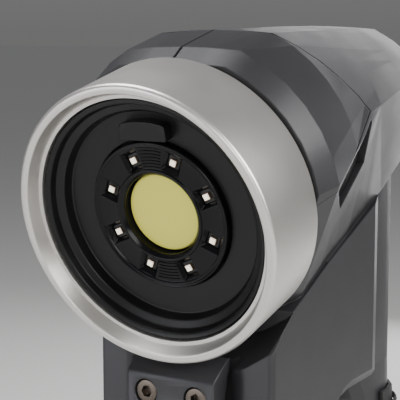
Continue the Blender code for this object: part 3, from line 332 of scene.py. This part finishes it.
# painted light: the LED chips, which are not lit, and the filter glass get a faint glow; the chips' glow is a
# painted highlight that keeps them bright in the hood's shade, and the glass's glow is a painted reflection
# that lifts it out of that shade
paintedGlow = {"chipFace": ((1.0, 0.90, 0.74), 1.1), "filter_glass": ((0.60, 0.57, 0.11), 0.24)}
for look, (colour, strength) in paintedGlow.items():
    shader = looks[look].node_tree.nodes["Principled BSDF"]
    shader.inputs["Emission Color"].default_value = (*colour, 1)
    shader.inputs["Emission Strength"].default_value = strength
print("finishes made")


def fit(piece, body, slot, *replaced, look=None):
    # a finished piece: the material of its slot or look, its body, and the CAD nodes that it stands for,
    # which are hidden
    piece.data.materials.clear()
    piece.data.materials.append(looks[look or slot])
    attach(piece, body)
    if replaced:
        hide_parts(*replaced)
    return piece


def onHead(piece, side):
    piece.data.transform(headPlace(side))
    return piece


hoodRing = {"radius": 0.0320, "front": 0.00005, "length": 0.0200, "rim": 0.0021, "outerRound": 0.0010,
            "innerRound": 0.0005, "lipRadius": 0.0288, "bore": 0.0280, "lipDepth": 0.0032,
            "backRound": 0.0006}


def makeHoodRing(side):
    r = hoodRing
    return lathe(side + "_hoodRing", [
        (r["radius"], r["length"], r["backRound"]),
        (r["radius"], r["front"], r["outerRound"]),
        (r["radius"] - r["rim"], r["front"], r["innerRound"]),
        (r["lipRadius"], r["lipDepth"], 0.0001),
        (r["bore"], r["lipDepth"], 0.0001),
        (r["bore"], r["length"], 0.0002),
    ], steps=192)


funnel = {"outer": 0.0277, "front": 0.0035, "lip": 0.0012, "lipDepth": 0.0007, "wall": 0.0017,
          "ledge": 0.0033, "stepDepth": 0.0062, "stepHalf": 0.0004, "inner": 0.0040, "floor": 0.0088,
          "seat": 0.0173, "seatDepth": 0.0114, "bore": 0.0100, "throat": 0.0154, "tube": 0.0245,
          "tubeWall": 0.0020, "back": 0.0250, "shoulder": 0.0180}
tab = {"half": 0.0058, "low": 0.0177, "high": 0.0219, "front": 0.0062, "round": 0.0009, "bevel": 0.00035,
       "footRound": 0.0003, "steps": 4, "sunk": 0.0002}


def makeFunnel(side):
    f = funnel
    return lathe(side + "_funnel", [
        (f["outer"], f["front"], 0.0003),
        (f["outer"] - f["lip"], f["front"] + f["lipDepth"], 0.0005),
        (f["outer"] - f["wall"], f["stepDepth"] - f["stepHalf"], 0.0004),
        (f["outer"] - f["ledge"], f["stepDepth"] + f["stepHalf"], 0.0005),
        (f["outer"] - f["inner"], f["floor"], 0.0004),
        (f["seat"], f["floor"], 0.0002),
        (f["seat"], f["seatDepth"], 0.0),
        (f["bore"], f["seatDepth"], 0.0),
        (f["bore"], f["throat"], 0.0),
        (f["tube"] - f["tubeWall"], f["throat"], 0.0),
        (f["tube"] - f["tubeWall"], f["back"], 0.0002),
        (f["tube"], f["back"], 0.0002),
        (f["tube"], f["shoulder"], 0.0),
        (f["outer"], f["shoulder"], 0.0003),
    ], steps=160)


def makeTab(side):
    # a stop block whose top follows the funnel's curve
    t = tab
    corners = [(-t["half"], t["low"], t["footRound"]), (t["half"], t["low"], t["footRound"])]
    for k in range(t["steps"], -t["steps"] - 1, -1):
        a = math.asin(t["half"] / t["high"]) * k / t["steps"]
        fillet = t["round"] if abs(k) == t["steps"] else 0.0
        corners.append((t["high"] * math.sin(a), t["high"] * math.cos(a), fillet))
    back = funnel["floor"] + t["sunk"]
    return pushed(side + "_stopBlock", filleted(corners), t["front"], back, "Y", t["bevel"])


lamps = {"count": 8, "circle": 0.01315, "pocket": 0.0025, "taper": 0.50, "plate": 0.0079, "back": 0.0089,
         "chip": 0.00062, "chipFace": 0.0084, "frame": 0.00082, "frameFace": 0.0087, "board": 0.0092,
         "overcut": 0.0002, "sunk": 0.0001}


def lampTurns():
    # each lamp's own frame: its Z points away from the middle
    step = 2 * math.pi / lamps["count"]
    return [Matrix.Rotation(step * (k + 0.5), 4, "Y") @ Matrix.Translation((0, 0, lamps["circle"]))
            for k in range(lamps["count"])]


lampCover = {"outer": 0.0170, "edge": 0.0167, "groove": 0.0162, "land": 0.0160, "bandOuter": 0.0156,
             "bandInner": 0.0108, "rimOuter": 0.0106, "rimInner": 0.0101, "hole": 0.0093,
             "edgeDepth": 0.0073, "landDepth": 0.0075, "grooveDepth": 0.0077, "holeDepth": 0.0083}


def makeLampCover(side):
    # glossy moulding: a double bevelled edge, a raised inner rim, and a flared pocket for each lamp
    c = lampCover
    cover = lathe(side + "_lampCover", [
        (c["outer"], lamps["back"], 0.0),
        (c["outer"], c["grooveDepth"], 0.0001),
        (c["edge"], c["edgeDepth"], 0.0002),
        (c["groove"], c["grooveDepth"], 0.0001),
        (c["land"], c["landDepth"], 0.0001),
        (c["bandOuter"], lamps["plate"], 0.0001),
        (c["bandInner"], lamps["plate"], 0.0001),
        (c["rimOuter"], c["landDepth"], 0.0001),
        (c["rimInner"], c["landDepth"], 0.0002),
        (c["hole"], c["holeDepth"], 0.0002),
        (c["hole"], lamps["back"], 0.0),
    ], steps=144, arcs=3)
    cutter = bmesh.new()
    wide = (-lamps["pocket"], lamps["pocket"])
    depths = (lamps["plate"] - lamps["overcut"], lamps["back"] + lamps["overcut"])
    for turn in lampTurns():
        blockMesh(cutter, wide, depths, wide, turn, lamps["taper"])
    return carve(cover, pieceFrom("pockets", cutter))


ridges = {"first": 0.0113, "pitch": 0.00072, "count": 6, "half": 0.00017, "height": 0.00032,
          "sunk": 0.0001, "spread": math.radians(10.5), "steps": 8}


def makeRidges(side):
    # fine concentric ridges between the lamps nearest the head's top and foot
    bm = bmesh.new()
    r = ridges
    shape = [(-r["half"], r["sunk"]), (0.0, -r["height"]), (r["half"], r["sunk"])]
    for centre in (math.pi / 2, -math.pi / 2):
        for k in range(r["count"]):
            radius = r["first"] + k * r["pitch"]
            rings = []
            for s in range(r["steps"] + 1):
                a = centre + r["spread"] * (2 * s / r["steps"] - 1)
                across = Vector((math.cos(a), 0, math.sin(a)))
                rings.append([bm.verts.new(across * (radius + u) + Vector((0, lamps["plate"] + w, 0)))
                              for u, w in shape])
            skinned(bm, rings)
    return pieceFrom(side + "_lampRidges", bm)


lampBoard = {"hole": 0.0098, "radius": 0.0166, "thickness": 0.0016, "round": 0.0001}


def makeLampBoard(side):
    b = lampBoard
    depths = (lamps["board"], lamps["board"] + b["thickness"])
    outline = box2d((b["hole"], b["radius"]), depths, b["round"])
    return lathe(side + "_lampBoard", outline, steps=96, arcs=2)


def makeChips(side, label, half, face):
    bm = bmesh.new()
    for turn in lampTurns():
        blockMesh(bm, (-half, half), (face, lamps["board"] + lamps["sunk"]), (-half, half), turn)
    return pieceFrom(side + label, bm)


filterGlass = {"radius": 0.0090, "front": 0.0099, "thickness": 0.0014, "edge": 0.0003, "crown": 0.00012,
               "round": 0.0001, "rings": 8}


def makeFilterGlass(side):
    g = filterGlass
    outline = [(0.0, g["front"], 0.0)]
    for k in range(1, g["rings"] + 1):
        share = k / g["rings"]
        outline.append(((g["radius"] - g["edge"]) * share, g["front"] + g["crown"] * share ** 2, 0.0))
    back = g["front"] + g["thickness"]
    outline += [(g["radius"], g["front"] + g["crown"] + g["edge"], g["round"]),
                (g["radius"], back, g["round"]), (0.0, back, 0.0)]
    return lathe(side + "_filterGlass", outline, steps=128, arcs=2)


def makeHead(side):
    fit(onHead(makeHoodRing(side), side), "body", "ring_aluminium", side + "_hood_ring")
    fit(onHead(makeFunnel(side), side), "body", "black_plastic", side + "_hood_baffle", look="funnelBlack")
    fit(onHead(makeTab(side), side), "body", "black_plastic", look="funnelBlack")
    fit(onHead(makeLampCover(side), side), "body", "black_plastic", side + "_lamp_cover", look="lampPlastic")
    fit(onHead(makeRidges(side), side), "body", "black_plastic", look="lampPlastic")
    fit(onHead(makeLampBoard(side), side), "body", "circuit_board", side + "_lamp_board", look="lampBoard")
    frames = makeChips(side, "_lampFrames", lamps["frame"], lamps["frameFace"])
    fit(onHead(frames, side), "body", "circuit_board", look="chipFrame")
    chips = makeChips(side, "_lampChips", lamps["chip"], lamps["chipFace"])
    fit(onHead(chips, side), "body", "light_pipe", look="chipFace")
    fit(onHead(makeFilterGlass(side), side), "body", "filter_glass", side + "_filter_glass")


for side in heads["turns"]:
    makeHead(side)
print("camera heads made")


# How far the edges of each piece that keeps its CAD shape are eased
eased = {"front_plate": 0.00025, "laser_window": 0.0003, "keypad_frame": 0.0003, "status_light": 0.0002,
         "fan_guard": 0.0002, "fan_frame": 0.0002, "port_flap": 0.0003, "front_foot": 0.0004,
         "rear_foot": 0.0004}
corners = [(side, hand) for side in heads["turns"] for hand in ("left", "right")]


def fitCleaned(name, node, body, slot):
    return fit(cleaned(name, node, eased.get(node, 0.0)), body, slot, node)


for name in ["left_shell", "right_shell"] + [f"{side}_visor_{hand}" for side, hand in corners]:
    fit(cleaned(name + "_skin", name, sharp=edgeWork["caseSharp"]), "body", "case_paint", name)
for name in [f"{side}_vent_{hand}" for side, hand in corners]:
    fitCleaned(name + "_insert", name, "body", "black_plastic")
fitCleaned("frontPlate", "front_plate", "body", "case_paint")
fitCleaned("laserWindow", "laser_window", "body", "window_glass")
print("case made")


screw = {"head": 0.00275, "shank": 0.0015, "headHeight": 0.0030, "chamfer": 0.00025, "tip": 0.0003,
         "socketFlats": 0.0025, "socketDepth": 0.0016, "overcut": 0.001, "plateTurn": 0.5, "caseTurn": 0.7}


def makeScrew(name, length):
    # socket-head screw along +Y from the face of its head
    s = screw
    made = lathe(name, [
        (0.0, 0.0, 0.0),
        (s["head"], 0.0, s["chamfer"]),
        (s["head"], s["headHeight"], 0.0001),
        (s["shank"], s["headHeight"], 0.0001),
        (s["shank"], length, s["tip"]),
        (0.0, length, 0.0),
    ], steps=64, arcs=3)
    corner = s["socketFlats"] / math.sqrt(3)
    hexagon = [(corner * math.cos(a), corner * math.sin(a)) for a in aroundCircle(6)]
    return carve(made, pushed("socket", hexagon, -s["overcut"], s["socketDepth"]))


for k in range(1, 5):
    low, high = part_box(f"plate_screw_{k}")
    made = makeScrew(f"plateScrew{k}", high.y - low.y)
    spin = Matrix.Rotation(screw["plateTurn"] * k, 4, "Y")
    made.matrix_world = Matrix.Translation(((low.x + high.x) / 2, low.y, (low.z + high.z) / 2)) @ spin
    fit(made, "body", "screw_steel", f"plate_screw_{k}")
for k in range(1, 6):
    low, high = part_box(f"case_screw_{k}")
    made = makeScrew(f"caseScrew{k}", high.x - low.x)
    turn = Matrix.Rotation(-math.pi / 2, 4, "Z") @ Matrix.Rotation(screw["caseTurn"] * k, 4, "Y")
    made.matrix_world = Matrix.Translation((low.x, (low.y + high.y) / 2, (low.z + high.z) / 2)) @ turn
    fit(made, "body", "screw_steel", f"case_screw_{k}")
print("screws made")


trigger = {"hollow": 0.0016, "flange": 0.0020, "flangeLip": 0.0016, "bevel": 0.0004, "steps": 32,
           "travel": 0.0035}


def makeTrigger():
    low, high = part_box("trigger")
    half = (high.z - low.z) / 2 - trigger["flangeLip"]
    middle = (high.z + low.z) / 2
    back = high.y
    flange = back - trigger["flange"]
    face = []
    for k in range(trigger["steps"] + 1):
        share = 2 * k / trigger["steps"] - 1
        face.append((low.y + trigger["hollow"] * math.cos(share * math.pi / 2), middle + half * share))
    outline = [(flange, middle - half)] + face + [
        (flange, middle + half),
        (flange, middle + half + trigger["flangeLip"]),
        (back, middle + half + trigger["flangeLip"]),
        (back, middle - half - trigger["flangeLip"]),
        (flange, middle - half - trigger["flangeLip"]),
    ]
    return pushed("triggerBlade", outline, low.x, high.x, "X", trigger["bevel"])


spring = {"wire": 0.00042, "radius": 0.0032, "turns": 5.5, "steps": 22, "sides": 8}


def makeSpring():
    low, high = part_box("trigger_spring")
    centre = (low + high) / 2
    wire = spring["wire"]
    count = int(spring["turns"] * spring["steps"])
    bm = bmesh.new()
    rings = []
    for k in range(count + 1):
        share = k / count
        angle = 2 * math.pi * spring["turns"] * share
        y = low.y + wire + (high.y - low.y - 2 * wire) * share
        outward = Vector((math.cos(angle), 0, math.sin(angle)))
        middle = Vector((centre.x, y, centre.z)) + outward * spring["radius"]
        rings.append([bm.verts.new(middle + wire * (math.cos(t) * outward + math.sin(t) * Vector((0, 1, 0))))
                      for t in aroundCircle(spring["sides"])])
    skinned(bm, rings)
    return pieceFrom("triggerSpring", bm)


fit(makeTrigger(), "trigger", "trigger_plastic", "trigger")
springPiece = fit(makeSpring(), "body", "steel", "trigger_spring")
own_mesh(springPiece)


buttons = {"round": 0.0014, "roundSteps": 6, "bevel": 0.0007, "dish": 0.0006, "dishRadius": 0.0024,
           "dishSink": 0.4}


def makeButton(node):
    low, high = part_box(node)
    outline = filleted(box2d((low.x, high.x), (low.z, high.z), buttons["round"]), buttons["roundSteps"])
    made = pushed(node + "_cap", outline, low.y, high.y, "Y", buttons["bevel"])
    # a shallow round dish for the thumb
    middle = middleOf(node)
    depth = buttons["dish"]
    radius = (buttons["dishRadius"] ** 2 + depth ** 2) / (2 * depth)
    centre = (middle.x, high.y - depth * buttons["dishSink"] + radius, middle.z)
    bm = bmesh.new()
    bmesh.ops.create_uvsphere(bm, u_segments=48, v_segments=96, radius=radius,
                              matrix=Matrix.Translation(centre))
    return carve(made, pieceFrom("dish", bm))


for k, body in enumerate(("button_a", "button_b", "button_c"), 1):
    fit(makeButton(f"button_{k}"), body, "rubber", f"button_{k}")
fitCleaned("keypadFrame", "keypad_frame", "body", "black_plastic")
fitCleaned("statusLight", "status_light", "body", "light_pipe")


grip = {"rows": 13, "ribHalf": 0.0009, "ribHeight": 0.00028, "shoulder": (0.75, 0.55), "sunk": 0.0004,
        "corner": 0.0121, "cornerSteps": 12, "margin": 0.004}


def makeGripRibs():
    # low rounded ribs across the pad, following its outline
    low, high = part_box("grip_pad")
    bm = bmesh.new()
    corner = grip["corner"]
    outline = []
    for k in range(grip["cornerSteps"] + 1):
        a = math.pi / 2 * k / grip["cornerSteps"]
        place = Vector((high.x - corner + corner * math.cos(a), high.y - corner + corner * math.sin(a)))
        outline.append((place, Vector((math.cos(a), math.sin(a)))))
    outline += [(Vector((-p.x, p.y)), Vector((-n.x, n.y))) for p, n in reversed(outline)]
    tall, wide = grip["shoulder"]
    shape = [(-grip["sunk"], -1.0), (0.0, -1.0), (grip["ribHeight"] * tall, -wide), (grip["ribHeight"], 0.0),
             (grip["ribHeight"] * tall, wide), (0.0, 1.0), (-grip["sunk"], 1.0)]
    start, end = low.z + grip["margin"], high.z - grip["margin"]
    for row in range(grip["rows"]):
        z = start + (end - start) * row / (grip["rows"] - 1)
        rings = []
        for p, n in outline:
            rings.append([bm.verts.new((p.x + n.x * u, p.y + n.y * u, z + grip["ribHalf"] * w))
                          for u, w in shape])
        skinned(bm, rings)
    return pieceFrom("gripRibs", bm)


fitCleaned("gripPad", "grip_pad", "body", "rubber")
fit(makeGripRibs(), "body", "rubber")
print("handle made")


fan = {"blades": 9, "hub": 0.0048, "hubFoot": 0.0002, "hubRound": 0.0006, "root": 0.0003, "tip": 0.0108,
       "thick": 0.0005, "twist": math.radians(48), "untwist": 0.3, "sweep": 0.35, "chord": 0.42, "steps": 6}


def makeImpeller():
    low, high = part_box("fan_impeller")
    centre = middleOf("fan_impeller")
    made = bmesh.new()
    chord = (high.y - low.y) * fan["chord"]
    for turn in aroundCircle(fan["blades"]):
        spin = Matrix.Rotation(turn, 4, "Y")
        rings = []
        for s in range(fan["steps"] + 1):
            share = s / fan["steps"]
            radius = fan["hub"] - fan["root"] + (fan["tip"] - fan["hub"]) * share
            pitch = fan["twist"] * (1 - fan["untwist"] * share)
            lean = fan["sweep"] * share ** 2
            ring = []
            for u, v in ((-1, -1), (1, -1), (1, 1), (-1, 1)):
                across = u * chord * math.sin(pitch) + v * fan["thick"] / 2
                along = centre.y + u * chord * math.cos(pitch)
                angle = lean + across / radius
                point = Vector((radius * math.sin(angle), 0, radius * math.cos(angle)))
                ring.append(made.verts.new(spin @ point + Vector((centre.x, along, centre.z))))
            rings.append(ring)
        skinned(made, rings)
    return pieceFrom("impellerBlades", made)


def makeHub():
    low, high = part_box("fan_impeller")
    hub = lathe("impellerHub", [
        (0.0, low.y, 0.0),
        (fan["hub"], low.y, fan["hubFoot"]),
        (fan["hub"], high.y, fan["hubRound"]),
        (0.0, high.y, 0.0),
    ], steps=64, arcs=4)
    centre = middleOf("fan_impeller")
    hub.matrix_world = Matrix.Translation((centre.x, 0, centre.z))
    return hub


fit(makeHub(), "fan_rotor", "black_plastic", "fan_impeller")
fit(makeImpeller(), "fan_rotor", "black_plastic")
fitCleaned("fanGuard", "fan_guard", "body", "black_plastic")
fitCleaned("fanFrame", "fan_frame", "body", "black_plastic")


socket = {"bore": 0.0052, "depth": 0.0050, "round": 0.0003, "pins": 6, "pinCircle": 0.0030, "pin": 0.0005,
          "pinOut": 0.0022, "pinTip": 0.0004, "pinTaper": 0.55, "pinSunk": 0.0001, "pinSides": 14}


def makeCableSocket():
    low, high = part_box("cable_socket")
    outer = (high.x - low.x) / 2
    s = socket
    made = lathe("cableSocket", [
        (0.0, low.y, 0.0),
        (outer, low.y, s["round"]),
        (outer, high.y, s["round"]),
        (s["bore"], high.y, s["round"]),
        (s["bore"], high.y - s["depth"], 0.0001),
        (0.0, high.y - s["depth"], 0.0),
    ], steps=96, arcs=4)
    centre = middleOf("cable_socket")
    made.matrix_world = Matrix.Translation((centre.x, 0, centre.z))
    return made


def makeContacts():
    s = socket
    low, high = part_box("cable_socket")
    centre = middleOf("cable_socket")
    floor = high.y - s["depth"]
    bm = bmesh.new()
    spots = [(0.0, 0.0)]
    spots += [(s["pinCircle"] * math.cos(a), s["pinCircle"] * math.sin(a)) for a in aroundCircle(s["pins"])]
    stages = [(floor - s["pinSunk"], 1.0), (floor + s["pinOut"] - s["pinTip"], 1.0),
              (floor + s["pinOut"], s["pinTaper"])]
    for x, z in spots:
        rings = []
        for along, wide in stages:
            rings.append([bm.verts.new((centre.x + x + wide * s["pin"] * math.cos(t), along,
                                        centre.z + z + wide * s["pin"] * math.sin(t)))
                          for t in aroundCircle(s["pinSides"])])
        skinned(bm, rings)
    return pieceFrom("cableContacts", bm)


fit(makeCableSocket(), "body", "steel", "cable_socket")
fit(makeContacts(), "body", "brass")
fitCleaned("portFlap", "port_flap", "flap", "rubber")
fitCleaned("flapPin", "flap_pin", "body", "steel")
for name in ("front_foot", "rear_foot"):
    fitCleaned(name + "_pad", name, "body", "rubber")


# What is inside keeps its CAD shape and takes its own finish
inside = {
    "inner_aluminium": ["optics_bar", "heat_sink"],
    "brass": ["upper_laser_projector", "lower_laser_projector"],
    "black_plastic": ["upper_lens_barrel", "lower_lens_barrel", "trigger_switch"],
    "circuit_board": ["upper_sensor_board", "lower_sensor_board", "main_board"],
}
for slot, names in inside.items():
    for name in names:
        nodes[name].data.materials.clear()
        nodes[name].data.materials.append(looks[slot])
print("back and inside made")


studio = {"floor": (0.74, 0.735, 0.72), "sky": (0.66, 0.67, 0.69), "skyStrength": 0.30, "floorHalf": 20.0,
          "horizon": (0.52, 0.52, 0.515), "horizonTop": 0.10}


def makeFloor():
    bm = bmesh.new()
    bmesh.ops.create_grid(bm, x_segments=1, y_segments=1, size=studio["floorHalf"])
    floor = pieceFrom("floor", bm)
    floor.data.materials.append(finishOf("floorPaper", studio["floor"], 0.85, grain=0.002, height=0.00002,
                                         mottle=0.01, edge=0.0, specular=0.0))


def makeSky():
    # plain sky that fades to the floor's tone at the horizon
    made = bpy.data.worlds.new("studio")
    made.use_nodes = True
    tree = made.node_tree
    place = tree.nodes.new("ShaderNodeTexCoord")
    axes = tree.nodes.new("ShaderNodeSeparateXYZ")
    fade = tree.nodes.new("ShaderNodeMapRange")
    fade.inputs["From Max"].default_value = studio["horizonTop"]
    tone = tree.nodes.new("ShaderNodeMix")
    tone.data_type = "RGBA"
    tone.inputs["A"].default_value = (*studio["horizon"], 1)
    tone.inputs["B"].default_value = (*studio["sky"], 1)
    tree.links.new(place.outputs["Generated"], axes.inputs["Vector"])
    tree.links.new(axes.outputs["Z"], fade.inputs["Value"])
    tree.links.new(fade.outputs["Result"], tone.inputs["Factor"])
    back = tree.nodes["Background"]
    back.inputs["Strength"].default_value = studio["skyStrength"]
    tree.links.new(tone.outputs["Result"], back.inputs["Color"])
    bpy.context.scene.world = made


def makeLamp(name, place, aim, size, power, colour=(1, 1, 1)):
    data = bpy.data.lights.new(name, "AREA")
    data.shape = "DISK"
    data.size = size
    data.energy = power
    data.color = colour
    lamp = bpy.data.objects.new(name, data)
    lamp.location = place
    lamp.rotation_euler = (Vector(aim) - Vector(place)).to_track_quat("-Z", "Y").to_euler()
    bpy.context.scene.collection.objects.link(lamp)


# name: (place from the upper rim, aim from it, size, power, colour)
studioLamps = {
    "keyLight": ((0.78, 0.02, 0.40), (0.0, 0.0, 0.0), 0.50, 8.5, (1.0, 0.98, 0.95)),
    "frontLight": ((0.50, -0.80, 0.20), (0.0, 0.0, -0.05), 0.50, 4.0, (1.0, 0.99, 0.97)),
    "topLight": ((-0.30, -0.10, 0.65), (0.0, 0.0, 0.0), 0.50, 6.0, (1.0, 1.0, 1.0)),
    "fillLight": ((-0.50, -0.80, -0.06), (0.0, 0.0, -0.05), 0.60, 3.4, (0.95, 0.97, 1.0)),
    "backLight": ((-0.10, 0.80, 0.10), (0.0, 0.0, -0.09), 0.60, 2.5, (1.0, 1.0, 1.0)),
}
makeFloor()
makeSky()
rim = headPlace("upper").translation
for name, (place, aim, size, power, colour) in studioLamps.items():
    makeLamp(name, rim + Vector(place), rim + Vector(aim), size, power, colour)


camera = {"lens": 108, "sensor": 36, "nearest": 0.01, "azimuth": math.radians(31.565),
          "elevation": math.radians(7.923), "fromRim": (0.1414, -0.20588, 0.04112)}


def makeCamera():
    data = bpy.data.cameras.new("camera")
    data.lens = camera["lens"]
    data.sensor_width = camera["sensor"]
    data.clip_start = camera["nearest"]
    made = bpy.data.objects.new("camera", data)
    made.location = rim + Vector(camera["fromRim"])
    made.rotation_euler = (math.pi / 2 - camera["elevation"], 0, camera["azimuth"])
    bpy.context.scene.collection.objects.link(made)
    bpy.context.scene.camera = made


makeCamera()
print("studio made")
